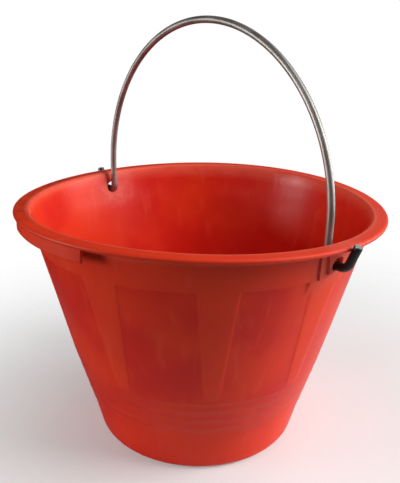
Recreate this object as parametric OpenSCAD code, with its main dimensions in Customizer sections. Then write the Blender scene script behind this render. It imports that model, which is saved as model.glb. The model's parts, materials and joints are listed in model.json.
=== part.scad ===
// Builder's mortar bucket: a one-piece polyethylene tub and a swinging wire bail.
// The origin is the centre of the foot, +Z is up, and the bail's pivot axis runs along X.

/* [Tub] */
// Diameter over the rim
rim_d = 320; // [312:1:330]
// Height from the floor to the top of the rim
tub_h = 215; // [205:1:225]
// Diameter that the plain wall would have at the floor
foot_d = 188.4; // [180:0.1:196]
// Thickness of the wall
wall_t = 2.6; // [2.4:0.1:3]
// Thickness of the floor
floor_t = 3; // [2.5:0.1:4]
// Radius of the rounded edge round the foot
foot_round = 8; // [6:0.5:9]
// Radius of the corner inside, between floor and wall
inner_round = 6; // [4:0.5:7]
// Depth of the hollow under the floor
hollow_h = 2; // [1:0.1:2.5]
// Width of the ring that the tub stands on
foot_ring_w = 7; // [5:0.5:10]

/* [Rim] */
// Width of the flange outside the wall
flange_w = 11; // [10:0.1:13]
// Thickness of the flange
flange_t = 3; // [2.5:0.1:3.4]
// Diameter of the bead along the flange's outer edge
bead_d = 4; // [3.6:0.1:4.4]
// Radius of the rounded edge at the mouth
mouth_round = 3; // [2:0.1:3.5]
// Depth of a grip skirt below the top of the rim
skirt_h = 12.5; // [10:0.1:15]
// Thickness of a grip skirt
skirt_t = 2.6; // [2:0.1:3]
// Inset of a grip skirt from the rim's edge
skirt_inset = 1.5; // [1.2:0.1:2]
// Angle that a grip skirt spans
skirt_span = 36; // [30:1:44]

/* [Wall relief] */
// Height of the collar, from its lower edge to the top of the rim
collar_h = 29.5; // [27:0.5:32]
// How far the collar and the strips stand out from the panels
relief = 0.8; // [0.5:0.1:1]
// Number of tapered strips
strip_count = 10; // [8:2:12]
// Width of a strip at the collar
strip_top_w = 30; // [26:1:34]
// Width of a strip at its lower end
strip_low_w = 11; // [8:1:14]
// Height of the lowest ring ledge
ring_low_z = 37.5; // [34:0.5:40]
// Spacing of the ring ledges
ring_pitch = 10.3; // [9.5:0.1:11]
// Number of ring ledges
ring_count = 5; // [4:1:6]
// Depth of a ring ledge
ring_step = 0.4; // [0.3:0.05:0.5]
// Depth of the lowest ring ledge
ring_low_step = 0.6; // [0.4:0.05:0.8]

/* [Ears] */
// Diameter of the hole for the bail
hole_d = 11.5; // [11.5:0.1:12]
// Distance of the hole's centre below the top of the rim
hole_drop = 17; // [16.5:0.1:18]
// How far the ear's shallow plate stands out from the collar
plate_relief = 0.6; // [0.4:0.1:0.8]
// How far that plate reaches below the collar
plate_drop = 12; // [8:0.5:16]
// Width of the plate at the flange
plate_top_w = 46.5; // [44:0.5:50]
// Width of the plate at its bottom
plate_low_w = 38; // [36:0.5:42]
// Thickness of each of the ear's two pads
pad_t = 2; // [1.6:0.1:2.1]
// Width of the lower pad at the flange
pad_top_w = 39.5; // [36:0.5:42]
// Width of the lower pad at its bottom
pad_low_w = 24.5; // [22:0.5:27]
// Width of the upper pad at the flange
boss_top_w = 30; // [26:0.5:32]
// Width of the upper pad at its bottom
boss_low_w = 12.5; // [12:0.5:16]
// Distance from the hole's centre to the bottom of the upper pad
boss_below = 8.5; // [8:0.1:10]

/* [Bail] */
// Diameter of the wire
wire_d = 5.8; // [5:0.1:6]
// Distance between the centrelines of the two legs
bail_span = 279; // [276:0.5:279]
// Height of the arch's centreline above the pivot axis
bail_rise = 168; // [163:0.5:180]
// Bend radius inside the tub, on the centreline
inner_bend_r = 6; // [5.5:0.1:6]
// Bend radius outside the ear, on the centreline
outer_bend_r = 7.5; // [7:0.1:8]
// Distance from the tub's axis to the start of the outer bend
outer_bend_x = 152.2; // [152.2:0.1:153]
// Lean of the hook's end away from the vertical
hook_lean = 22; // [21.5:0.5:26]
// Height of the hook's tip above the pivot axis, on the centreline
hook_rise = 19.3; // [18:0.1:21]
// Wall thickness of the plastic sleeve on a hook
sleeve_t = 0.4; // [0.3:0.05:0.4]
// Clearance under the sleeve in the ear's hole
hole_gap = 0.35; // [0.3:0.05:0.5]

/* [Hidden] */
$fn = 180;

tub_colour = [0.80, 0.16, 0.09];
steel_colour = [0.62, 0.60, 0.57];
sleeve_colour = [0.08, 0.08, 0.08];

rim_r = rim_d / 2;
foot_r = foot_d / 2;
wall_top_r = rim_r - flange_w;
draft = atan((wall_top_r - foot_r) / tub_h);

// Radius of the panels' plain cone at height z.
function wall_r(z) = foot_r + z * tan(draft);

ring_top_z = ring_low_z + (ring_count - 1) * ring_pitch;
collar_z = tub_h - collar_h;
band_inset = ring_low_step + (ring_count - 1) * ring_step;

// How far the wall at ring zone k (0 is the base band) lies inside the plain cone.
function ring_inset(k) = k == 0 ? band_inset : (ring_count - k) * ring_step;

hole_z = tub_h - hole_drop;
ear_face_z = tub_h - flange_t / 2;
sleeve_d = wire_d + 2 * sleeve_t;
pivot_z = hole_z - hole_d / 2 + sleeve_d / 2 + hole_gap;

leg_x = bail_span / 2;
embed = wall_t / 2;
overlap = 1;
// Step between two surfaces that are almost flush, so that one clearly covers the other.
seam = 0.03;

// Centre of a circle of radius r that touches the floor line z0 and a cone line from inside.
// cone_r0 is the cone's radius at z = 0.
function corner_x(cone_r0, z0, r) = cone_r0 + (z0 + r) * tan(draft) - r / cos(draft);

foot_x = corner_x(foot_r - band_inset, 0, foot_round);
floor_z = hollow_h + floor_t;
inner_r0 = foot_r - band_inset - wall_t;
inner_x = corner_x(inner_r0, floor_z, inner_round);
mouth_r0 = foot_r + relief - wall_t;
mouth_x = mouth_r0 + (tub_h - mouth_round) * tan(draft) + mouth_round / cos(draft);

// Outline of the solid tub without its cavity, from the axis outwards.
module outer_section() {
    polygon(concat(
        [
            [0, hollow_h],
            [foot_x - foot_ring_w - hollow_h, hollow_h],
            [foot_x - foot_ring_w, 0],
            [foot_x, 0],
            [foot_x + foot_round * cos(draft), foot_round * (1 - sin(draft))]
        ],
        [
            for (k = [0:ring_count - 1], side = [0, 1])
                let (z = ring_low_z + k * ring_pitch)
                [wall_r(z) - ring_inset(k + side), z]
        ],
        [
            [wall_r(collar_z), collar_z],
            [wall_r(collar_z) + relief, collar_z],
            [wall_r(tub_h - flange_t) + relief, tub_h - flange_t],
            [rim_r - bead_d / 2, tub_h - flange_t],
            [rim_r - bead_d / 2, tub_h],
            [0, tub_h]
        ]
    ));
    translate([foot_x, foot_round]) circle(r = foot_round);
    translate([rim_r - bead_d / 2, tub_h - bead_d / 2]) circle(d = bead_d);
}

// The wall keeps its thickness, so its inside steps out with the collar and the base band.
module cavity_section() {
    band_z = ring_low_z + floor_t;
    step_z = collar_z + 2 * relief;
    difference() {
        polygon([
            [0, floor_z],
            [inner_x, floor_z],
            [inner_x + inner_round * cos(draft), floor_z + inner_round * (1 - sin(draft))],
            [inner_r0 + band_z * tan(draft), band_z],
            [wall_r(ring_top_z) - wall_t, ring_top_z],
            [wall_r(collar_z) - wall_t, collar_z],
            [mouth_r0 + step_z * tan(draft), step_z],
            [mouth_x - mouth_round * cos(draft), tub_h - mouth_round * (1 - sin(draft))],
            [mouth_x, tub_h],
            [mouth_x, tub_h + overlap],
            [0, tub_h + overlap]
        ]);
        translate([mouth_x, tub_h - mouth_round]) circle(r = mouth_round);
    }
    translate([inner_x, floor_z + inner_round]) circle(r = inner_round);
}

module tub_shell() {
    rotate_extrude()
        difference() {
            outer_section();
            cavity_section();
        }
}

strip_low_z = ring_top_z + overlap;

// Width of a strip at height z.
function strip_w(z) =
    strip_low_w + (strip_top_w - strip_low_w) * (z - strip_low_z) / (collar_z - strip_low_z);

// A tapered pad that follows the wall at +X, from z0 to z1, and stands out by height.
module wall_pad(height, z0, z1, low_w, top_w) {
    taper = (top_w - low_w) / (z1 - z0) / 2;
    spread = 40;
    intersection() {
        rotate([0, 0, -spread / 2])
            rotate_extrude(angle = spread)
                polygon([
                    [wall_r(z0) - embed / 2, z0],
                    [wall_r(z0) + height, z0],
                    [wall_r(z1) + height, z1],
                    [wall_r(z1) - embed / 2, z1]
                ]);
        rotate([90, 0, 90])
            linear_extrude(height = rim_d)
                polygon([
                    [-low_w / 2 + taper * overlap, z0 - overlap],
                    [low_w / 2 - taper * overlap, z0 - overlap],
                    [top_w / 2 + taper * overlap, z1 + overlap],
                    [-top_w / 2 - taper * overlap, z1 + overlap]
                ]);
    }
}

// Ear: a shallow plate from below the collar up to the flange, and two stepped pads on it.
module ear() {
    pads = relief + pad_t;
    wall_pad(relief + plate_relief, collar_z - plate_drop, ear_face_z, plate_low_w, plate_top_w);
    wall_pad(pads, collar_z, ear_face_z, pad_low_w, pad_top_w);
    wall_pad(pads + pad_t, hole_z - boss_below, ear_face_z, boss_low_w, boss_top_w);
}

// The strips run up into the collar and are all but flush with it.
module strips() {
    step = 360 / strip_count;
    top_z = collar_z + overlap;
    for (i = [0:strip_count - 1])
        rotate([0, 0, i * step])
            wall_pad(relief - seam, strip_low_z, top_z, strip_low_w, strip_w(top_z));
}

// A skirt hangs from the flange and gives the fingers a hold for tipping.
module grip_skirt() {
    outer_r = rim_r - skirt_inset;
    low_z = tub_h - skirt_h + skirt_t / 2;
    rotate([0, 0, -90 - skirt_span / 2])
        rotate_extrude(angle = skirt_span) {
            translate([outer_r - skirt_t, low_z])
                square([skirt_t, ear_face_z - low_z]);
            translate([outer_r - skirt_t / 2, low_z]) circle(d = skirt_t);
        }
}

module tub() {
    color(tub_colour)
        difference() {
            union() {
                tub_shell();
                strips();
                for (turn = [0, 180])
                    rotate([0, 0, turn]) {
                        ear();
                        grip_skirt();
                    }
            }
            translate([0, 0, hole_z])
                rotate([0, 90, 0])
                    cylinder(d = hole_d, h = rim_d, center = true);
        }
}

// Round bar along the bail's plane from [x, z] in direction angle (0 is +X, 90 is +Z).
module bar(d, at, angle, length) {
    translate([at[0], 0, at[1]])
        rotate([0, 90 - angle, 0])
            cylinder(d = d, h = length);
}

// Round bend in the bail's plane about [x, z], swept from angle a0 by turn degrees.
module bend(d, at, r, a0, turn) {
    translate([at[0], 0, at[1]])
        rotate([90, 0, 0])
            rotate_extrude(angle = turn, start = a0)
                translate([r, 0]) circle(d = d);
}

hook_turn = 90 - hook_lean;
hook_start = [
    outer_bend_x + outer_bend_r * sin(hook_turn),
    pivot_z + outer_bend_r * (1 - cos(hook_turn))
];
hook_length = (pivot_z + hook_rise - hook_start[1]) / cos(hook_lean);
hook_dir = [cos(hook_turn), sin(hook_turn)];
hook_lap = 0.2;
bore_x = leg_x + inner_bend_r;

// Everything of the hook that wears the sleeve, at diameter d, on the +X side.
module hook(d) {
    bar(d, [bore_x, pivot_z], 0, outer_bend_x - bore_x);
    bend(d, [outer_bend_x, pivot_z + outer_bend_r], outer_bend_r, -90, hook_turn);
    bar(d + 2 * seam, hook_start - hook_lap * hook_dir, hook_turn, hook_length + hook_lap);
}

module bail_wire() {
    leg_z = pivot_z + inner_bend_r;
    arch_z = pivot_z + bail_rise - leg_x;
    color(steel_colour) {
        bend(wire_d, [0, arch_z], leg_x, 0, 180);
        for (side = [0, 1])
            mirror([side, 0, 0]) {
                bar(wire_d, [leg_x, leg_z], 90, arch_z - leg_z);
                bend(wire_d, [bore_x, leg_z], inner_bend_r, 180, 90);
                hook(wire_d);
            }
    }
}

module hook_sleeve() {
    color(sleeve_colour)
        difference() {
            hook(sleeve_d);
            hook(wire_d);
        }
}

module hook_sleeve_right() {
    hook_sleeve();
}

module hook_sleeve_left() {
    mirror([1, 0, 0]) hook_sleeve();
}

tub();
bail_wire();
hook_sleeve_left();
hook_sleeve_right();
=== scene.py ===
import json
import math

import bmesh
import bpy
import numpy as np
from mathutils import Matrix, Vector


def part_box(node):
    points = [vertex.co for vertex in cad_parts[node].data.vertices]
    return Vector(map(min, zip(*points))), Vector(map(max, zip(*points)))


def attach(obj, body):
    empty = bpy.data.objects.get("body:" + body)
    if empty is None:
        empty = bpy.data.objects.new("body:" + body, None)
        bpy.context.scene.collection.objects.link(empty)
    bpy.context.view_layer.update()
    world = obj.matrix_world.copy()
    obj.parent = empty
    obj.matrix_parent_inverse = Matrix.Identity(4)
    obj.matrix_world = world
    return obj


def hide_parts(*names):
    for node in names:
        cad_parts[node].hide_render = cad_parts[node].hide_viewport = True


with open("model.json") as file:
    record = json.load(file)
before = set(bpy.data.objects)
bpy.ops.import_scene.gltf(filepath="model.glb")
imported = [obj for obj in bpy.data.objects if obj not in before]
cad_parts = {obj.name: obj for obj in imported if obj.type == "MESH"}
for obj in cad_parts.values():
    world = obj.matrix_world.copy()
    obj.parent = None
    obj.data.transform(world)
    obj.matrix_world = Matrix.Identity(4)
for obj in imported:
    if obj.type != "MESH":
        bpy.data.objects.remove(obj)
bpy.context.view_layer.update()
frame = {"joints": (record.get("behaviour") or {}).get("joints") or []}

# The object is a builder's bucket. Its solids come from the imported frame; the pieces made here stand
# for them with softened edges and worn materials. Lengths are millimetres until a mesh is made.
MM = 0.001

# ---------------------------------------------------------------- sizes from the frame
tub_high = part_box("tub")[1]
RIM_R = tub_high.x / MM
TUB_H = tub_high.z / MM
PIVOT_Z = frame["joints"][0]["pos_m"][2] / MM
WIRE_TOP_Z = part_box("bail_wire")[1].z / MM

# ---------------------------------------------------------------- tub
FOOT_R = 94.2            # the plain wall's radius at the floor
WALL_T = 2.6
FLOOR_T = 3.0
HOLLOW_H = 2.0           # hollow under the floor
FOOT_RING_W = 7.0
FOOT_ROUND = 8.0
INNER_ROUND = 6.0
FLANGE_W = 11.0
FLANGE_T = 3.0
BEAD_R = 2.0
MOUTH_ROUND = 3.0
SKIRT_H = 12.5
SKIRT_T = 2.6
SKIRT_INSET = 1.5
SKIRT_HALF_ANGLE = math.radians(18)
COLLAR_Z = TUB_H - 29.5
RELIEF = 0.8             # collar and strips, above the panels
STRIP_COUNT = 10
STRIP_LOW_W, STRIP_TOP_W = 11.0, 30.0
RING_LOW_Z = 37.5
RING_PITCH = 10.3
RING_COUNT = 5
RING_STEP = 0.4
RING_LOW_STEP = 0.6
HOLE_R = 5.75
HOLE_Z = TUB_H - 17.0
PLATE_RELIEF = 0.18      # above the collar
PLATE_DROP = 12.0
PLATE_LOW_W, PLATE_TOP_W = 38.0, 46.5
PAD_T = 2.0
PAD_LOW_W, PAD_TOP_W = 24.5, 39.5
BOSS_LOW_W, BOSS_TOP_W = 12.5, 30.0
BOSS_LOW_Z = HOLE_Z - 8.5

EDGE_SOFT = 0.9          # width over which a relief edge rises
STRIP_SOFT = 2.6         # width over which a strip's edge rises
STRIP_RELIEF = 0.36      # a moulded strip is sunk a little against the collar
STRIP_FADE = 9.0         # height over which a strip dies out at its lower end
PLATE_FADE = 4.0         # height over which an ear's plate rises from the strip below it
LEDGE_SOFT = 0.36        # height over which a ring ledge rises
STEP_SPREAD = 17.0       # height over which the inside steps out behind the collar
FLANGE_FILLET = 1.6
FLANGE_SINK = 0.12       # the flange's top is hollow by this much between its edges
HOLE_BEVEL = 0.35
WELD = 0.01              # points closer than this are one
SHARP_DEGREES = 38       # faces that meet at more than this show an edge

# The mark that the moulding gate leaves in the middle of the floor.
GATE_R = 5.0
GATE_TOP_R = 1.5
GATE_DIMPLE = 0.6        # its depth in the underside
GATE_BUMP = 0.5          # its height inside
GATE_CROWN = 0.1         # how much its rim lies back from its middle

DRAFT = math.atan((RIM_R - FLANGE_W - FOOT_R) / TUB_H)
SLOPE = math.tan(DRAFT)
FLANGE_Z = TUB_H - FLANGE_T
EAR_TOP_Z = TUB_H - FLANGE_T / 2
RING_TOP_Z = RING_LOW_Z + (RING_COUNT - 1) * RING_PITCH
STRIP_LOW_Z = RING_TOP_Z + 1.0
PLATE_LOW_Z = COLLAR_Z - PLATE_DROP
BAND_INSET = RING_LOW_STEP + (RING_COUNT - 1) * RING_STEP
FLOOR_Z = HOLLOW_H + FLOOR_T
MOUTH_R0 = FOOT_R + RELIEF - WALL_T
MOUTH_X = MOUTH_R0 + (TUB_H - MOUTH_ROUND) * SLOPE + MOUTH_ROUND / math.cos(DRAFT)
BEAD_X = RIM_R - BEAD_R
BEAD_Z = TUB_H - BEAD_R
SKIRT_OUT = RIM_R - SKIRT_INSET

# A tub's rim is never flat: it rises and dips twice round, by this much above the holes.
SADDLE = 2.0
SADDLE_PHASE = math.radians(118)
SADDLE_FADE = 8.0
# Shallow waves in the wall: height, number round, phase round, pitch upwards and phase upwards.
WAVES = ((0.16, 3, 0.9, 31.0, 0.0), (0.10, 7, -1.7, 19.0, 1.0), (0.06, 13, 2.3, 13.0, 2.0))
WAVES_LOW_Z, WAVES_LOW_FADE = 12.0, 40.0
WAVES_TOP_Z, WAVES_TOP_FADE = 178.0, 30.0
STRESS_REACH = 26.0      # how far the pale stress marks reach round a hole

# ---------------------------------------------------------------- bail
WIRE_R = 2.9
LEG_X = 139.5
INNER_BEND_R = 6.0
OUTER_BEND_R = 7.5
OUTER_BEND_X = 152.2
HOOK_TURN = math.radians(68)
HOOK_RISE = 19.3
SLEEVE_T = 0.4
SLEEVE_GAP = 0.02        # between wire and sleeve
SLEEVE_SHORT = 0.7       # how far the wire's end stands out of its sleeve
CUT_BEVEL = 0.35         # bevel round the wire's cut ends


def smooth(t):
    """0 below 0, 1 above 1 and a soft S between."""
    t = np.clip(t, 0.0, 1.0)
    return t * t * (3.0 - 2.0 * t)


def rise(distance, width):
    """0 to 1 as distance passes 0, spread over width."""
    return smooth(distance / width + 0.5)


def corner_x(cone_r0, z0, r):
    """Centre of a round of radius r between a floor at z0 and the cone with radius cone_r0 at z 0."""
    return cone_r0 + (z0 + r) * SLOPE - r / math.cos(DRAFT)


def wall_r(z):
    return FOOT_R + z * SLOPE


def width_between(z, z0, z1, w0, w1):
    return w0 + (w1 - w0) * (z - z0) / (z1 - z0)


def strip_half(z):
    return width_between(z, STRIP_LOW_Z, COLLAR_Z, STRIP_LOW_W, STRIP_TOP_W) / 2


def plate_half(z):
    return width_between(z, PLATE_LOW_Z, EAR_TOP_Z, PLATE_LOW_W, PLATE_TOP_W) / 2


def pad_half(z):
    return width_between(z, COLLAR_Z, EAR_TOP_Z, PAD_LOW_W, PAD_TOP_W) / 2


def boss_half(z):
    return width_between(z, BOSS_LOW_Z, EAR_TOP_Z, BOSS_LOW_W, BOSS_TOP_W) / 2


# ---------------------------------------------------------------- mesh helpers
def mesh_object(name, points, faces, sharp_degrees=SHARP_DEGREES):
    """A smooth shaded mesh from points in millimetres, sharp only where faces meet steeply."""
    mesh = bpy.data.meshes.new(name)
    mesh.from_pydata([tuple(p) for p in np.asarray(points) * MM], [], faces)
    mesh.validate()
    mesh.shade_smooth()
    mesh.set_sharp_from_angle(angle=math.radians(sharp_degrees))
    piece = bpy.data.objects.new(name, mesh)
    bpy.context.scene.collection.objects.link(piece)
    return piece


def ring_faces(rows, cols, closed=False):
    """Quads between rows of a grid whose columns go all the way round."""
    faces = []
    for i in range(rows if closed else rows - 1):
        below, above = i * cols, (i + 1) % rows * cols
        for j in range(cols):
            k = (j + 1) % cols
            faces.append((below + j, below + k, above + k, above + j))
    return faces


def end_fans(rows, cols):
    """Triangles that close the first and the last row to the two points after the grid."""
    first, last = rows * cols, rows * cols + 1
    top = (rows - 1) * cols
    faces = []
    for j in range(cols):
        k = (j + 1) % cols
        faces.append((first, k, j))
        faces.append((top + j, top + k, last))
    return faces


# ---------------------------------------------------------------- tub mesh
EAR, PLAIN, SKIRT_END = range(3)
EAR_SECTORS = (0, STRIP_COUNT // 2)
SKIRT_END_SECTORS = (2, 3, 7, 8)
SECTOR = 2 * math.pi / STRIP_COUNT
EDGE_OFFSETS = np.linspace(-0.5, 0.5, 7) * EDGE_SOFT
STRIP_OFFSETS = np.linspace(-0.5, 0.5, 7) * STRIP_SOFT
# Below the ear, the columns of its upper pad run down inside the strip at this share of its width.
BOSS_IN_STRIP = 0.4


def sector_kind(k):
    if k in EAR_SECTORS:
        return EAR
    return SKIRT_END if k in SKIRT_END_SECTORS else PLAIN


def side_columns(kind):
    """Columns from a sector's centre to its border, as (anchor, next anchor, share, offset, offset).

    The anchors are the centre line, each relief edge and the border."""
    between = [4, 2, 2, 5] if kind == EAR else [3, 6]
    last = len(between)
    columns = []
    offsets = EDGE_OFFSETS if kind == EAR else STRIP_OFFSETS
    if kind == SKIRT_END:
        columns += [(0, 0, 0.0, o, o) for o in EDGE_OFFSETS if o > 1e-6]
    for a, count in enumerate(between):
        start = offsets[-1] if a > 0 or kind == SKIRT_END else 0.0
        stop = offsets[0] if a + 1 < last else 0.0
        columns += [(a, a + 1, (i + 1) / (count + 1), start, stop) for i in range(count)]
        if a + 1 < last:
            columns += [(a + 1, a + 1, 0.0, o, o) for o in offsets]
    return columns


def tub_columns():
    """One row per column: sector, kind, side, anchor, next anchor, share, offset, offset."""
    columns = []
    for k in range(STRIP_COUNT):
        kind = sector_kind(k)
        side = side_columns(kind)
        border = 4 if kind == EAR else 2
        columns += [(k, kind, -1, *c) for c in reversed(side)]
        columns.append((k, kind, 1, 0, 0, 0.0, 0.0, 0.0))
        columns += [(k, kind, 1, *c) for c in side]
        columns.append((k, kind, 1, border, border, 0.0, 0.0, 0.0))
    return np.array(columns)


def column_angles(columns, z):
    """The angle of every column at height z, so that columns run along the tapered edges."""
    z = min(max(z, STRIP_LOW_Z), EAR_TOP_Z)
    r = wall_r(z)
    strip = math.asin(strip_half(z) / r)
    ear_z = max(z, BOSS_LOW_Z)
    boss = math.asin(boss_half(ear_z) / r)
    pad = math.asin(pad_half(max(z, COLLAR_Z)) / r)
    # The columns along the pads' edges come down from the flange and turn into the strip's.
    pad_share = smooth((z - PLATE_LOW_Z) / (COLLAR_Z - PLATE_LOW_Z))
    boss = BOSS_IN_STRIP * strip + (boss - BOSS_IN_STRIP * strip) * pad_share
    pad = strip + (pad - strip) * pad_share
    plate = math.asin(plate_half(max(z, PLATE_LOW_Z)) / r)
    half = SECTOR / 2
    plain = [0.0, strip, half, half, half]
    anchors = np.array([[0.0, boss, pad, plate, half], plain, plain])
    sector, kind, side, a, b, share, off_a, off_b = columns.T
    kind, a, b = kind.astype(int), a.astype(int), b.astype(int)
    local = (1 - share) * (anchors[kind, a] + off_a / r) + share * (anchors[kind, b] + off_b / r)
    return sector * SECTOR + side * local


def sector_of(angle):
    """The nearest sector's number, and the angle from its centre line."""
    sector = np.round(angle / SECTOR)
    return sector.astype(int) % STRIP_COUNT, angle - sector * SECTOR


def wall_relief(angle, z):
    """How far the wall's relief stands out from the plain cone, or lies inside it at the ledges."""
    sector, local = sector_of(angle)
    y = np.abs(wall_r(z) * np.sin(local))
    ear = np.isin(sector, EAR_SECTORS)
    collar = RELIEF * rise(z - COLLAR_Z, LEDGE_SOFT)
    strip = STRIP_RELIEF * rise(strip_half(z) - y, STRIP_SOFT)
    strip = strip * smooth((z - STRIP_LOW_Z) / STRIP_FADE)
    plate_share = smooth((z - PLATE_LOW_Z) / PLATE_DROP) ** 2
    plate = STRIP_RELIEF + (RELIEF + PLATE_RELIEF - STRIP_RELIEF) * plate_share
    plate = plate * rise(plate_half(z) - y, 2 * EDGE_SOFT) * smooth((z - PLATE_LOW_Z) / PLATE_FADE)
    pad = (RELIEF + PAD_T) * rise(pad_half(z) - y, EDGE_SOFT) * rise(z - COLLAR_Z, EDGE_SOFT)
    boss = (RELIEF + 2 * PAD_T) * rise(boss_half(z) - y, EDGE_SOFT)
    boss = boss * rise(z - BOSS_LOW_Z, EDGE_SOFT)
    relief = np.maximum(collar, strip)
    relief = np.where(ear, np.maximum.reduce([relief, plate, pad, boss]), relief)
    for k in range(RING_COUNT):
        step = RING_LOW_STEP if k == 0 else RING_STEP
        relief = relief - step * (1 - rise(z - RING_LOW_Z - k * RING_PITCH, LEDGE_SOFT))
    return relief


def near(z, soft):
    """Heights of rows across an edge of that softness at z."""
    return list(z + np.linspace(-0.55, 0.55, 7) * soft)


def wall_heights():
    """Heights of the outer wall's rows, close together where its relief changes."""
    start = FOOT_ROUND * (1 - math.sin(DRAFT))
    heights = list(np.linspace(start + 1, RING_LOW_Z - 2, 6))
    for k in range(RING_COUNT):
        ledge = RING_LOW_Z + k * RING_PITCH
        heights += near(ledge, LEDGE_SOFT)[::2]
        if k + 1 < RING_COUNT:
            heights.append(ledge + RING_PITCH / 2)
    heights += list(np.linspace(STRIP_LOW_Z, STRIP_LOW_Z + STRIP_FADE, 6))
    heights += list(np.linspace(STRIP_LOW_Z + STRIP_FADE + 4, PLATE_LOW_Z - 2, 15))
    heights += near(PLATE_LOW_Z, 2 * EDGE_SOFT)
    heights += list(np.linspace(PLATE_LOW_Z + 3, COLLAR_Z - 2, 4))
    heights += near(COLLAR_Z, EDGE_SOFT)
    heights += [(COLLAR_Z + BOSS_LOW_Z) / 2]
    heights += near(BOSS_LOW_Z, EDGE_SOFT)
    heights += list(np.linspace(BOSS_LOW_Z + 2, FLANGE_Z - FLANGE_FILLET, 9))
    return heights


def under_rim(n):
    """The flange's underside out to the bead, as n points without a skirt and n with one.

    The third result is the angle on the bead's circle where both end."""
    meet = math.acos((SKIRT_OUT - BEAD_X) / BEAD_R)
    low_z = TUB_H - SKIRT_H + SKIRT_T / 2
    inner, mid = SKIRT_OUT - SKIRT_T, SKIRT_OUT - SKIRT_T / 2
    turn = np.radians(np.linspace(210, 360 - math.degrees(meet), n - 2))
    start = inner - 0.7
    plain = [(start, FLANGE_Z), (inner - 0.1, FLANGE_Z)]
    plain += [(BEAD_X + BEAD_R * math.cos(t), BEAD_Z + BEAD_R * math.sin(t)) for t in turn]
    round_n = 9
    side_n = (n - round_n - 2) // 2
    skirt = [(start, FLANGE_Z), (inner - 0.2, FLANGE_Z - 0.2)]
    skirt += [(inner, z) for z in np.linspace(FLANGE_Z - 0.7, low_z + 0.3, side_n)]
    turn = np.linspace(math.pi, 2 * math.pi, round_n)
    skirt += [(mid + SKIRT_T / 2 * math.cos(t), low_z + SKIRT_T / 2 * math.sin(t)) for t in turn]
    up_n = n - len(skirt)
    end_z = BEAD_Z - BEAD_R * math.sin(meet)
    skirt += [(SKIRT_OUT, z) for z in np.linspace(low_z + 0.3, end_z, up_n)]
    return np.array(plain), np.array(skirt), -meet


def skirt_share(angle):
    """1 where a grip skirt hangs, 0 elsewhere. The skirts are centred on the Y axis."""
    off = np.abs(np.abs(np.angle(np.exp(1j * angle))) - math.pi / 2)
    return rise((SKIRT_HALF_ANGLE - off) * SKIRT_OUT, EDGE_SOFT)


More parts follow.
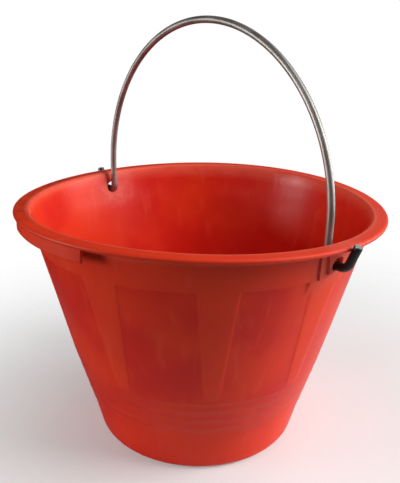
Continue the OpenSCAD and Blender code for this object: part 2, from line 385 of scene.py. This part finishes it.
def tub_rows(columns):
    """The tub's surface as rows of (angles, radii, heights), from under the floor round to inside."""
    rows = []
    ones = np.ones(len(columns))

    def add(r, z, angle_z=None):
        angle = column_angles(columns, z if angle_z is None else angle_z)
        rows.append((angle, r * ones, z * ones))

    foot_x = corner_x(FOOT_R - BAND_INSET, 0, FOOT_ROUND)
    ring_in = foot_x - FOOT_RING_W
    # Underside: the gate's dimple, a flat hollow and the foot ring.
    add(GATE_TOP_R, HOLLOW_H + GATE_DIMPLE)
    add(GATE_R - 1.0, HOLLOW_H + GATE_DIMPLE - GATE_CROWN)
    add(GATE_R, HOLLOW_H)
    for r in np.linspace(14, ring_in - HOLLOW_H - 0.6, 5):
        add(r, HOLLOW_H)
    add(ring_in - HOLLOW_H + 0.2, HOLLOW_H - 0.25)
    add(ring_in - 0.5, 0.4)
    add(ring_in + 0.4, 0.0)
    add((ring_in + foot_x) / 2, 0.0)
    for turn in np.linspace(-math.pi / 2, -DRAFT, 10):
        add(foot_x + FOOT_ROUND * math.cos(turn), FOOT_ROUND * (1 + math.sin(turn)))

    # Outer wall with all its relief.
    for z in wall_heights():
        angle = column_angles(columns, z)
        rows.append((angle, wall_r(z) + wall_relief(angle, z), z * ones))

    # Fillet into the flange, the flange's underside with the skirts, and the bead.
    angle = column_angles(columns, FLANGE_Z)
    z0 = FLANGE_Z - FLANGE_FILLET
    base = wall_r(z0) + wall_relief(angle, z0)
    for turn in np.linspace(0, math.pi / 2, 5)[1:]:
        out = FLANGE_FILLET * (1 - math.cos(turn))
        rows.append((angle, base + out, (z0 + FLANGE_FILLET * math.sin(turn)) * ones))
    plain, skirt, meet = under_rim(26)
    for share in (0.4, 0.75):
        r = (1 - share) * (base + FLANGE_FILLET) + share * plain[0, 0]
        rows.append((angle, r, FLANGE_Z * ones))
    hang = skirt_share(angle)
    for (r0, z0), (r1, z1) in zip(plain, skirt):
        rows.append((angle, r0 + (r1 - r0) * hang, z0 + (z1 - z0) * hang))
    for turn in np.linspace(meet, math.pi / 2, 13)[1:]:
        add(BEAD_X + BEAD_R * math.cos(turn), BEAD_Z + BEAD_R * math.sin(turn), FLANGE_Z)

    # Flange top, sunk by a hair between its edges, then the mouth's round.
    for share in (0.25, 0.5, 0.75):
        r = BEAD_X + (MOUTH_X - BEAD_X) * share
        add(r, TUB_H - FLANGE_SINK * math.sin(math.pi * share), FLANGE_Z)
    for turn in np.linspace(math.pi / 2, math.pi - DRAFT, 8):
        x = MOUTH_X + MOUTH_ROUND * math.cos(turn)
        add(x, TUB_H - MOUTH_ROUND * (1 - math.sin(turn)), FLANGE_Z)

    # Inner wall, corner and floor.
    inner_r0 = FOOT_R - BAND_INSET - WALL_T
    band_z = RING_LOW_Z + FLOOR_T
    inner_x = corner_x(inner_r0, FLOOR_Z, INNER_ROUND)
    behind_collar = (207, 202, 198, *range(195, 177, -3))
    for z in (*behind_collar, *range(175, 84, -8), 79, 76, 70, 60, 50, band_z, 30, 18):
        band = BAND_INSET * smooth((z - band_z) / (RING_TOP_Z - band_z))
        step = RELIEF * rise(z - COLLAR_Z - RELIEF, STEP_SPREAD)
        add(inner_r0 + band + step + z * SLOPE, z)
    for turn in np.linspace(-DRAFT, -math.pi / 2, 8):
        x = inner_x + INNER_ROUND * math.cos(turn)
        add(x, FLOOR_Z + INNER_ROUND * (1 + math.sin(turn)))
    for r in (60, 35, 14, GATE_R):
        add(r, FLOOR_Z)
    add(GATE_R - 0.8, FLOOR_Z + GATE_BUMP - GATE_CROWN)
    add(GATE_TOP_R, FLOOR_Z + GATE_BUMP)
    return rows


def wobble(angle, r, z):
    """The slight unevenness of a thin moulding: the rim's saddle, and shallow waves in the wall."""
    lift = SADDLE * np.cos(2 * (angle - SADDLE_PHASE))
    lift = lift * smooth((z - HOLE_Z - HOLE_R) / SADDLE_FADE)
    waves = sum(height * np.cos(count * angle + turn) * np.sin(z / pitch + shift)
                for height, count, turn, pitch, shift in WAVES)
    free = smooth((z - WAVES_LOW_Z) / WAVES_LOW_FADE) * smooth((WAVES_TOP_Z - z) / WAVES_TOP_FADE)
    return r + waves * free, z + lift


def hole_cutter():
    """A round bar through both ears."""
    n = 72
    turn = np.linspace(0, 2 * math.pi, n, endpoint=False)
    points = []
    for x in (-RIM_R, RIM_R):
        points += [(x, HOLE_R * math.cos(t), HOLE_Z + HOLE_R * math.sin(t)) for t in turn]
    points += [(-RIM_R, 0, HOLE_Z), (RIM_R, 0, HOLE_Z)]
    return mesh_object("hole_cutter", points, ring_faces(2, n) + end_fans(2, n))


def soften_holes(piece):
    """Bevels the sharp edges round the holes and welds the slivers that the cut leaves."""
    bm = bmesh.new()
    bm.from_mesh(piece.data)
    edges = []
    for e in bm.edges:
        middle = (e.verts[0].co + e.verts[1].co) / 2 / MM
        off = math.hypot(middle.y, middle.z - HOLE_Z)
        if abs(off - HOLE_R) < 0.1 and e.calc_face_angle(0) > math.radians(45):
            edges.append(e)
    bmesh.ops.bevel(bm, geom=edges, offset=HOLE_BEVEL * MM, segments=2, affect="EDGES",
                    clamp_overlap=True, profile=0.5)
    bmesh.ops.remove_doubles(bm, verts=bm.verts, dist=WELD * MM)
    bmesh.ops.dissolve_degenerate(bm, dist=WELD * MM, edges=bm.edges)
    bm.to_mesh(piece.data)
    bm.free()


def paint_weights(piece):
    """Masks for the material: raised skin, stress round the holes, and the mouth's edge, which is
    rubbed smooth and carries a painted highlight.
    """
    n = len(piece.data.vertices)
    co = np.zeros(n * 3)
    piece.data.vertices.foreach_get("co", co)
    x, y, z = co.reshape(-1, 3).T / MM
    angle = np.arctan2(y, x)
    outside = (np.hypot(x, y) > wall_r(z) - WALL_T / 2) & (z > FOOT_ROUND)
    relief = wall_relief(angle, z)
    raised = np.where(outside, smooth(relief / STRIP_RELIEF), 0.0)
    raised = np.where(z > FLANGE_Z - 2, 1.0, raised)
    hole = np.hypot(y, z - HOLE_Z)
    stress = smooth(1 - (hole - HOLE_R) / STRESS_REACH) * (np.abs(x) > wall_r(HOLE_Z) - 3 * WALL_T)
    # The mouth's edge: where it is rubbed smooth and where a pale highlight is painted on.
    edge = smooth((MOUTH_X + 1 - np.hypot(x, y)) / 1.2)
    edge = edge * smooth((z - TUB_H + SADDLE + 2.5 * MOUTH_ROUND) / MOUTH_ROUND)
    for name, values in (("raised", raised), ("stress", stress), ("edge", edge)):
        layer = piece.data.attributes.new(name, "FLOAT", "POINT")
        layer.data.foreach_set("value", values.astype(np.float32))


def make_tub():
    """The whole moulding as one closed skin, with the two holes cut through its ears."""
    columns = tub_columns()
    rows = tub_rows(columns)
    points = []
    for angle, r, z in rows:
        r, z = wobble(angle, r, z)
        points.append(np.stack([r * np.cos(angle), r * np.sin(angle), z], axis=-1))
    middles = [(0, 0, HOLLOW_H + GATE_DIMPLE), (0, 0, FLOOR_Z + GATE_BUMP)]
    points = np.concatenate(points + [np.array(middles)])
    count, cols = len(rows), len(columns)
    tub = mesh_object("tub_skin", points, ring_faces(count, cols) + end_fans(count, cols))
    cutter = hole_cutter()
    cut = tub.modifiers.new("holes", "BOOLEAN")
    cut.object, cut.operation, cut.solver = cutter, "DIFFERENCE", "EXACT"
    cut_tub = tub.evaluated_get(bpy.context.evaluated_depsgraph_get())
    shape = bpy.data.meshes.new_from_object(cut_tub)
    tub.modifiers.clear()
    tub.data = shape
    bpy.data.objects.remove(cutter)
    soften_holes(tub)
    tub.data.shade_smooth()
    tub.data.set_sharp_from_angle(angle=math.radians(SHARP_DEGREES))
    paint_weights(tub)
    return tub


# ---------------------------------------------------------------- bail mesh
def arc_points(cx, cz, r, a0, a1, n):
    """Points and headings along an arc in the bail's plane. It turns from a0 to a1."""
    turn = np.linspace(a0, a1, n)
    way = 1.0 if a1 > a0 else -1.0
    return [(cx + r * math.cos(t), cz + r * math.sin(t), t + way * math.pi / 2) for t in turn]


def line_points(x0, z0, x1, z1, n):
    heading = math.atan2(z1 - z0, x1 - x0)
    return [(x0 + (x1 - x0) * s, z0 + (z1 - z0) * s, heading) for s in np.linspace(0, 1, n)]


def hook_points():
    """The right hook's centre line from inside the ear to its tip."""
    bore_x = LEG_X + INNER_BEND_R
    centre_z = PIVOT_Z + OUTER_BEND_R
    start_x = OUTER_BEND_X + OUTER_BEND_R * math.sin(HOOK_TURN)
    start_z = PIVOT_Z + OUTER_BEND_R * (1 - math.cos(HOOK_TURN))
    length = (HOOK_RISE + PIVOT_Z - start_z) / math.sin(HOOK_TURN)
    tip_x = start_x + length * math.cos(HOOK_TURN)
    points = line_points(bore_x, PIVOT_Z, OUTER_BEND_X, PIVOT_Z, 5)[:-1]
    points += arc_points(OUTER_BEND_X, centre_z, OUTER_BEND_R, -math.pi / 2,
                         HOOK_TURN - math.pi / 2, 15)
    points += line_points(start_x, start_z, tip_x, PIVOT_Z + HOOK_RISE, 10)[1:]
    return points


def half_wire():
    """The centre line from the crown down to the right hook's tip."""
    arch_z = WIRE_TOP_Z - WIRE_R - LEG_X
    leg_z = PIVOT_Z + INNER_BEND_R
    points = arc_points(0, arch_z, LEG_X, math.pi / 2, 0, 73)
    points += line_points(LEG_X, arch_z, LEG_X, leg_z, 10)[1:]
    points += arc_points(LEG_X + INNER_BEND_R, leg_z, INNER_BEND_R, math.pi, 1.5 * math.pi, 11)[1:]
    return points + hook_points()[1:]


def sweep(path, radii, segments):
    """Rings of points round a path of (x, z, heading) in the XZ plane."""
    turn = np.linspace(0, 2 * math.pi, segments, endpoint=False)
    rings = []
    for (x, z, heading), r in zip(path, radii):
        across = np.array([math.sin(heading), 0, -math.cos(heading)])
        side = np.array([0, 1, 0])
        spokes = np.outer(np.cos(turn), across) + np.outer(np.sin(turn), side)
        rings.append(np.array([x, 0, z]) + r * spokes)
    return np.concatenate(rings)


def end_bevel(path, r):
    """The path with a point more for a cut end's bevel, and the radius of its last ring."""
    x, z, heading = path[-1]
    back = (x - CUT_BEVEL * math.cos(heading), z - CUT_BEVEL * math.sin(heading), heading)
    return path[:-1] + [back, (x, z, heading)], r - 0.6 * CUT_BEVEL


BAR_SEGMENTS = 40


def make_wire():
    """The bail's wire from tip to tip. The triangles that close its ends have the second material."""
    right = half_wire()
    right, tip_r = end_bevel(right, WIRE_R)
    left = [(-x, z, -heading) for x, z, heading in reversed(right[1:])]
    path = left + right
    radii = np.full(len(path), WIRE_R)
    radii[0] = radii[-1] = tip_r
    ends = [(path[0][0], 0, path[0][1]), (path[-1][0], 0, path[-1][1])]
    points = np.concatenate([sweep(path, radii, BAR_SEGMENTS), np.array(ends)])
    faces = ring_faces(len(path), BAR_SEGMENTS) + end_fans(len(path), BAR_SEGMENTS)
    wire = mesh_object("bail_wire_drawn", points, faces)
    add_run(wire, path, BAR_SEGMENTS)
    for p in wire.data.polygons:
        p.material_index = 1 if len(p.vertices) == 3 else 0
    return wire


def add_run(piece, path, segments):
    """Stores each vertex's place on the wire in metres: how far along, and where in its section."""
    steps = [math.hypot(b[0] - a[0], b[1] - a[1]) for a, b in zip(path, path[1:])]
    run = np.repeat(np.concatenate([[0], np.cumsum(steps)]) * MM, segments)
    turn = np.tile(np.linspace(0, 2 * math.pi, segments, endpoint=False), len(path))
    values = np.stack([run, np.cos(turn) * WIRE_R * MM, np.sin(turn) * WIRE_R * MM], axis=-1)
    extra = len(piece.data.vertices) - len(values)
    values = np.concatenate([values, np.zeros((extra, 3))])
    layer = piece.data.attributes.new("run", "FLOAT_VECTOR", "POINT")
    layer.data.foreach_set("vector", values.astype(np.float32).ravel())


def make_sleeve(side, name):
    """A closed tube of thin plastic along a hook, with rounded lips. side is 1 for +X, -1 for -X."""
    path = hook_points()
    x, z, heading = path[-1]
    path[-1] = (x - SLEEVE_SHORT * math.cos(heading), z - SLEEVE_SHORT * math.sin(heading), heading)
    # The tube puckers a little where the hook bends.
    pucker = [0.05 * math.sin(1.9 * i) * (4 < i < 19) for i in range(len(path))]
    outer = [WIRE_R + SLEEVE_T + p for p in pucker]
    outer[0] = outer[-1] = WIRE_R + 0.6 * SLEEVE_T
    rows = path + path[::-1]
    radii = outer + [WIRE_R + SLEEVE_GAP] * len(path)
    points = sweep(rows, radii, BAR_SEGMENTS)
    points[:, 0] *= side
    faces = ring_faces(len(rows), BAR_SEGMENTS, closed=True)
    if side < 0:
        faces = [f[::-1] for f in faces]
    return mesh_object(name, points, faces, 60)


# ---------------------------------------------------------------- materials
class Graph:
    """A material's node tree with short calls."""

    def __init__(self, name):
        self.material = bpy.data.materials.new(name)
        self.material.use_nodes = True
        self.tree = self.material.node_tree
        self.tree.nodes.clear()
        self.out = self.node("ShaderNodeOutputMaterial")
        self.shader = self.node("ShaderNodeBsdfPrincipled")
        self.join(self.shader.outputs[0], self.out.inputs["Surface"])

    def node(self, kind, **values):
        made = self.tree.nodes.new(kind)
        for key, value in values.items():
            setattr(made, key, value)
        return made

    def join(self, source, target):
        self.tree.links.new(source, target)

    def put(self, target, value):
        """Links value if it is a socket, and sets it otherwise."""
        if isinstance(value, bpy.types.NodeSocket):
            self.join(value, target)
        else:
            target.default_value = value

    def where(self):
        return self.node("ShaderNodeTexCoord").outputs["Object"]

    def attribute(self, name, output="Fac"):
        return self.node("ShaderNodeAttribute", attribute_name=name).outputs[output]

    def stretched(self, vector, scale):
        made = self.node("ShaderNodeMapping")
        self.join(vector, made.inputs["Vector"])
        made.inputs["Scale"].default_value = scale
        return made.outputs[0]

    def noise(self, vector, scale, detail=4.0, rough=0.55, distortion=0.0):
        made = self.node("ShaderNodeTexNoise")
        self.join(vector, made.inputs["Vector"])
        made.inputs["Scale"].default_value = scale
        made.inputs["Detail"].default_value = detail
        made.inputs["Roughness"].default_value = rough
        made.inputs["Distortion"].default_value = distortion
        return made.outputs["Fac"]

    def range(self, value, low, high, to_low=0.0, to_high=1.0):
        made = self.node("ShaderNodeMapRange", interpolation_type="SMOOTHSTEP")
        self.put(made.inputs["Value"], value)
        for socket, number in zip(("From Min", "From Max", "To Min", "To Max"),
                                  (low, high, to_low, to_high)):
            made.inputs[socket].default_value = number
        return made.outputs[0]

    def math(self, operation, a, b=0.0):
        made = self.node("ShaderNodeMath", operation=operation)
        self.put(made.inputs[0], a)
        self.put(made.inputs[1], b)
        return made.outputs[0]

    def mix(self, share, a, b, blend="MIX"):
        made = self.node("ShaderNodeMix", data_type="RGBA", blend_type=blend)
        self.put(made.inputs["Factor"], share)
        self.put(made.inputs["A"], a)
        self.put(made.inputs["B"], b)
        return made.outputs["Result"]

    def bump(self, height, distance, strength=1.0, normal=None):
        made = self.node("ShaderNodeBump")
        self.put(made.inputs["Height"], height)
        made.inputs["Distance"].default_value = distance
        made.inputs["Strength"].default_value = strength
        if normal is not None:
            self.join(normal, made.inputs["Normal"])
        return made.outputs[0]

    def split(self, vector):
        made = self.node("ShaderNodeSeparateXYZ")
        self.join(vector, made.inputs[0])
        return made.outputs


def rgb(r, g, b):
    return (r, g, b, 1.0)


DEEP_RED = rgb(0.70, 0.018, 0.010)
WARM_RED = rgb(0.80, 0.037, 0.010)
RAISED_RED = rgb(0.84, 0.056, 0.014)
STREAK_RED = rgb(0.84, 0.10, 0.05)
STRESS_PINK = rgb(0.80, 0.16, 0.12)
PAINTED_HIGHLIGHT_PINK = rgb(0.85, 0.17, 0.11)
# A painted highlight of pale pink along the mouth's rounded edge.
SMUDGE_BROWN = rgb(0.18, 0.035, 0.018)
DUST_PINK = rgb(0.62, 0.20, 0.14)

# Where the rim is smudged.
SMUDGE_TURN = math.radians(-142)
SMUDGE_AT = Vector((math.cos(SMUDGE_TURN) * RIM_R, math.sin(SMUDGE_TURN) * RIM_R, TUB_H)) * MM


def tub_material():
    """Worn red polyethylene: satin panels, duller raised skin, scuffs, dust and stress marks."""
    g = Graph("red_polyethylene")
    where = g.where()
    raised = g.attribute("raised")
    stress = g.attribute("stress")
    height = g.split(where)["Z"]

    cloud = g.noise(where, 16, 3, 0.5)
    streak = g.noise(g.stretched(where, (1, 1, 0.12)), 95, 5, 0.6, 0.4)
    colour = g.mix(g.range(cloud, 0.36, 0.66), DEEP_RED, WARM_RED)
    colour = g.mix(g.math("MULTIPLY", raised, 0.55), colour, RAISED_RED)
    colour = g.mix(g.range(streak, 0.54, 0.72, 0, 0.30), colour, STREAK_RED)

    pale = g.math("MULTIPLY", stress, g.range(g.noise(where, 90, 5, 0.65), 0.3, 0.7, 0.15, 0.7))
    colour = g.mix(pale, colour, STRESS_PINK)

    # The mouth's edge is rubbed smooth, and a painted highlight lays pale pink along it.
    rubbed = g.range(g.noise(where, 60, 4, 0.6), 0.25, 0.6, 0.5, 1)
    edge = g.math("MULTIPLY", g.attribute("edge"), rubbed)
    colour = g.mix(g.math("MULTIPLY", edge, 0.5), colour, PAINTED_HIGHLIGHT_PINK)

    # Brown smudges on one stretch of the rim.
    rim = g.range(height, (TUB_H - 6) * MM, (TUB_H - 3) * MM)
    stretch = g.node("ShaderNodeVectorMath", operation="DISTANCE")
    g.join(where, stretch.inputs[0])
    stretch.inputs[1].default_value = SMUDGE_AT
    place = g.math("MULTIPLY", rim, g.range(stretch.outputs["Value"], 0.05, 0.14, 1.0, 0.0))
    place = g.math("MULTIPLY", place, g.range(edge, 0.0, 0.5, 1.0, 0.3))
    dirt = g.range(g.noise(where, 75, 6, 0.68, 0.6), 0.42, 0.66, 0.1, 0.62)
    colour = g.mix(g.math("MULTIPLY", dirt, place), colour, SMUDGE_BROWN)
    dust = g.range(g.noise(where, 210, 5, 0.7), 0.55, 0.8, 0, 0.08)
    colour = g.mix(dust, colour, DUST_PINK)
    g.join(colour, g.shader.inputs["Base Color"])

    scratch = g.noise(g.stretched(where, (1, 1, 0.03)), 420, 2, 0.5, 1.2)
    scuff = g.range(scratch, 0.62, 0.74)
    rough = g.math("ADD", g.range(cloud, 0.3, 0.7, 0.30, 0.38), g.math("MULTIPLY", raised, 0.10))
    rough = g.math("ADD", rough, g.math("MULTIPLY", scuff, 0.12))
    rough = g.math("ADD", rough, g.math("MULTIPLY", pale, 0.2))
    rough = g.math("SUBTRACT", rough, g.math("MULTIPLY", edge, 0.12))
    g.join(rough, g.shader.inputs["Roughness"])

    skin = g.noise(where, 1500, 3, 0.6)
    flow = g.noise(g.stretched(where, (1, 1, 0.35)), 55, 3, 0.5)
    normal = g.bump(flow, 0.0012, 0.25)
    normal = g.bump(skin, 0.00008, 0.6, normal)
    normal = g.bump(scratch, 0.00006, 0.5, normal)
    g.join(normal, g.shader.inputs["Normal"])
    g.shader.inputs["IOR"].default_value = 1.5
    g.shader.inputs["Specular IOR Level"].default_value = 0.18
    return g.material


def wire_material():
    """Dull drawn steel wire with a thin zinc skin, die lines and grime."""
    g = Graph("zinc_plated_wire")
    run = g.attribute("run", "Vector")
    lines = g.noise(g.stretched(run, (6, 420, 420)), 1.6, 2, 0.5)
    patch = g.noise(g.stretched(run, (1, 3, 3)), 34, 4, 0.6)
    grime = g.range(g.noise(g.stretched(run, (1, 2, 2)), 90, 5, 0.7), 0.55, 0.78)
    colour = g.mix(g.range(patch, 0.3, 0.7), rgb(0.25, 0.232, 0.212), rgb(0.38, 0.36, 0.335))
    colour = g.mix(g.math("MULTIPLY", grime, 0.6), colour, rgb(0.13, 0.095, 0.07))
    g.join(colour, g.shader.inputs["Base Color"])
    g.shader.inputs["Metallic"].default_value = 0.7
    rough = g.math("ADD", g.range(patch, 0.3, 0.75, 0.38, 0.48), g.math("MULTIPLY", grime, 0.2))
    g.join(rough, g.shader.inputs["Roughness"])
    normal = g.bump(lines, 0.00003, 0.25)
    normal = g.bump(patch, 0.0003, 0.10, normal)
    g.join(normal, g.shader.inputs["Normal"])
    return g.material


def cut_material():
    """The sheared end of the wire: pale, torn steel."""
    g = Graph("cut_wire_end")
    where = g.where()
    tear = g.noise(g.stretched(where, (1, 6, 1)), 900, 4, 0.7)
    colour = g.mix(tear, rgb(0.22, 0.205, 0.19), rgb(0.48, 0.46, 0.44))
    g.join(colour, g.shader.inputs["Base Color"])
    g.shader.inputs["Metallic"].default_value = 0.7
    g.join(g.range(tear, 0.3, 0.7, 0.45, 0.62), g.shader.inputs["Roughness"])
    g.join(g.bump(tear, 0.0002, 0.6), g.shader.inputs["Normal"])
    return g.material


def sleeve_material():
    """Black PVC tube, dusty on its rubbed places."""
    g = Graph("black_pvc_sleeve")
    where = g.where()
    rub = g.noise(where, 260, 5, 0.65)
    colour = g.mix(g.range(rub, 0.5, 0.8), rgb(0.010, 0.009, 0.010), rgb(0.045, 0.038, 0.036))
    g.join(colour, g.shader.inputs["Base Color"])
    g.join(g.range(rub, 0.3, 0.75, 0.32, 0.52), g.shader.inputs["Roughness"])
    g.join(g.bump(g.noise(where, 2200, 3, 0.6), 0.00006, 0.6), g.shader.inputs["Normal"])
    return g.material


def floor_material():
    """A white sweep that runs out into the white surroundings, so that it shows no horizon."""
    g = Graph("pale_floor")
    where = g.where()
    fleck = g.noise(where, 9, 4, 0.5)
    colour = g.mix(fleck, rgb(0.80, 0.80, 0.80), rgb(0.84, 0.84, 0.84))
    g.join(colour, g.shader.inputs["Base Color"])
    g.join(g.range(fleck, 0.3, 0.7, 0.75, 0.85), g.shader.inputs["Roughness"])
    g.shader.inputs["Specular IOR Level"].default_value = 0.2
    away = g.node("ShaderNodeVectorMath", operation="DISTANCE")
    g.join(where, away.inputs[0])
    away.inputs[1].default_value = view_right * FADE_SHIFT
    share = g.range(away.outputs["Value"], FADE_START, FADE_END, FLOOR_SHARE, 0.0)
    g.join(share, g.shader.inputs["Alpha"])
    return g.material


# ---------------------------------------------------------------- pieces
def dress(piece, body, node, slot, *materials):
    """Gives a piece its materials, hangs it on its body and hides the part that it stands for."""
    for material in materials:
        piece.data.materials.append(material)
    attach(piece, body)
    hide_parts(node)


dress(make_tub(), "root", "tub", "tub_plastic", tub_material())
dress(make_wire(), "bail", "bail_wire", "wire_steel", wire_material(), cut_material())
sleeve_look = sleeve_material()
for side, node in ((1, "hook_sleeve_right"), (-1, "hook_sleeve_left")):
    dress(make_sleeve(side, node + "_tube"), "bail", node, "sleeve_plastic", sleeve_look)

# ---------------------------------------------------------------- stage
VIEW_AZIMUTH = math.radians(48.4)   # 0 looks along +Y, and 90 along -X
CAMERA_DISTANCE = 0.5057            # from the tub's axis, level
CAMERA_HEIGHT = 0.3458
AIM_HEIGHT = 0.1746
ROLL = math.radians(1.23)
LENS = 43.73
LIGHT_DISTANCE = 2.2
FLOOR_R = 60
# The floor fades into the white surroundings between two distances from a point beside the bucket.
FADE_SHIFT = 0.12
FADE_START, FADE_END = 0.12, 0.60
FLOOR_SHARE = 0.8                   # how solid the floor is before it fades
GLOW = 0.12                         # the surroundings' brightness as a light, at their brightest

view_right = Vector((math.cos(VIEW_AZIMUTH), math.sin(VIEW_AZIMUTH), 0))
view_ahead = Vector((-math.sin(VIEW_AZIMUTH), math.cos(VIEW_AZIMUTH), 0))


def make_camera():
    """The photograph's viewpoint."""
    data = bpy.data.cameras.new("camera")
    data.lens = LENS
    data.clip_start, data.clip_end = 0.01, 200
    camera = bpy.data.objects.new("camera", data)
    bpy.context.scene.collection.objects.link(camera)
    place = -view_ahead * CAMERA_DISTANCE + Vector((0, 0, CAMERA_HEIGHT))
    ahead = (Vector((0, 0, AIM_HEIGHT)) - place).normalized()
    up = view_right.cross(ahead)
    right = view_right * math.cos(ROLL) + up * math.sin(ROLL)
    up = right.cross(ahead)
    turn = Matrix((right, up, -ahead)).transposed()
    camera.matrix_world = Matrix.Translation(place) @ turn.to_4x4()
    bpy.context.scene.camera = camera


def make_floor():
    """A round floor, so wide that its edge is never seen."""
    n = 96
    turn = np.linspace(0, 2 * math.pi, n, endpoint=False)
    mesh = bpy.data.meshes.new("floor")
    ring = [(FLOOR_R * math.cos(t), FLOOR_R * math.sin(t), 0) for t in turn]
    mesh.from_pydata(ring, [], [tuple(range(n))])
    floor = bpy.data.objects.new("floor", mesh)
    bpy.context.scene.collection.objects.link(floor)
    mesh.materials.append(floor_material())


def area_light(name, bearing, elevation, size, power):
    """A soft square panel aimed at the bucket.

    Bearing 0 is straight beyond it as the camera sees it, and 90 is to its right."""
    data = bpy.data.lights.new(name, "AREA")
    data.size = size
    data.energy = power
    light = bpy.data.objects.new(name, data)
    turn, lift = math.radians(bearing), math.radians(elevation)
    level = view_right * math.sin(turn) + view_ahead * math.cos(turn)
    towards = level * math.cos(lift) + Vector((0, 0, math.sin(lift)))
    place = Vector((0, 0, AIM_HEIGHT)) + towards * LIGHT_DISTANCE
    aim = towards.to_track_quat("Z", "Y").to_matrix().to_4x4()
    light.matrix_world = Matrix.Translation(place) @ aim
    bpy.context.scene.collection.objects.link(light)


def make_world():
    """White to look at. As light it is a weak glow from the upper right, and dark elsewhere."""
    world = bpy.data.worlds.new("studio")
    bpy.context.scene.world = world
    world.use_nodes = True
    tree = world.node_tree
    tree.nodes.clear()
    out = tree.nodes.new("ShaderNodeOutputWorld")
    shown = tree.nodes.new("ShaderNodeBackground")
    shown.inputs["Color"].default_value = (1, 1, 1, 1)
    lit = tree.nodes.new("ShaderNodeBackground")
    coordinate = tree.nodes.new("ShaderNodeTexCoord")
    dot = tree.nodes.new("ShaderNodeVectorMath")
    dot.operation = "DOT_PRODUCT"
    glow_side = view_right * 0.75 + view_ahead * 0.25 + Vector((0, 0, 0.6))
    dot.inputs[1].default_value = glow_side.normalized()
    ramp = tree.nodes.new("ShaderNodeMapRange")
    ramp.interpolation_type = "SMOOTHSTEP"
    ramp.inputs["To Max"].default_value = GLOW
    path = tree.nodes.new("ShaderNodeLightPath")
    mix = tree.nodes.new("ShaderNodeMixShader")
    link = tree.links.new
    link(coordinate.outputs["Generated"], dot.inputs[0])
    link(dot.outputs["Value"], ramp.inputs["Value"])
    link(ramp.outputs[0], lit.inputs["Strength"])
    link(path.outputs["Is Camera Ray"], mix.inputs[0])
    link(lit.outputs[0], mix.inputs[1])
    link(shown.outputs[0], mix.inputs[2])
    link(mix.outputs[0], out.inputs["Surface"])


make_camera()
make_floor()
make_world()
area_light("key_right", 105, 35, 1.0, 31)
area_light("low_right", 76, 8, 0.9, 25)
area_light("near_right", 110, 6, 0.9, 8)
area_light("top_right", 110, 62, 1.0, 12)
area_light("low_left", -102, 5, 0.8, 28)
area_light("near_left", -140, 35, 1.0, 4)
area_light("beyond", 30, 35, 1.0, 3)
bpy.context.scene.view_settings.view_transform = "Standard"

bpy.context.view_layer.update()
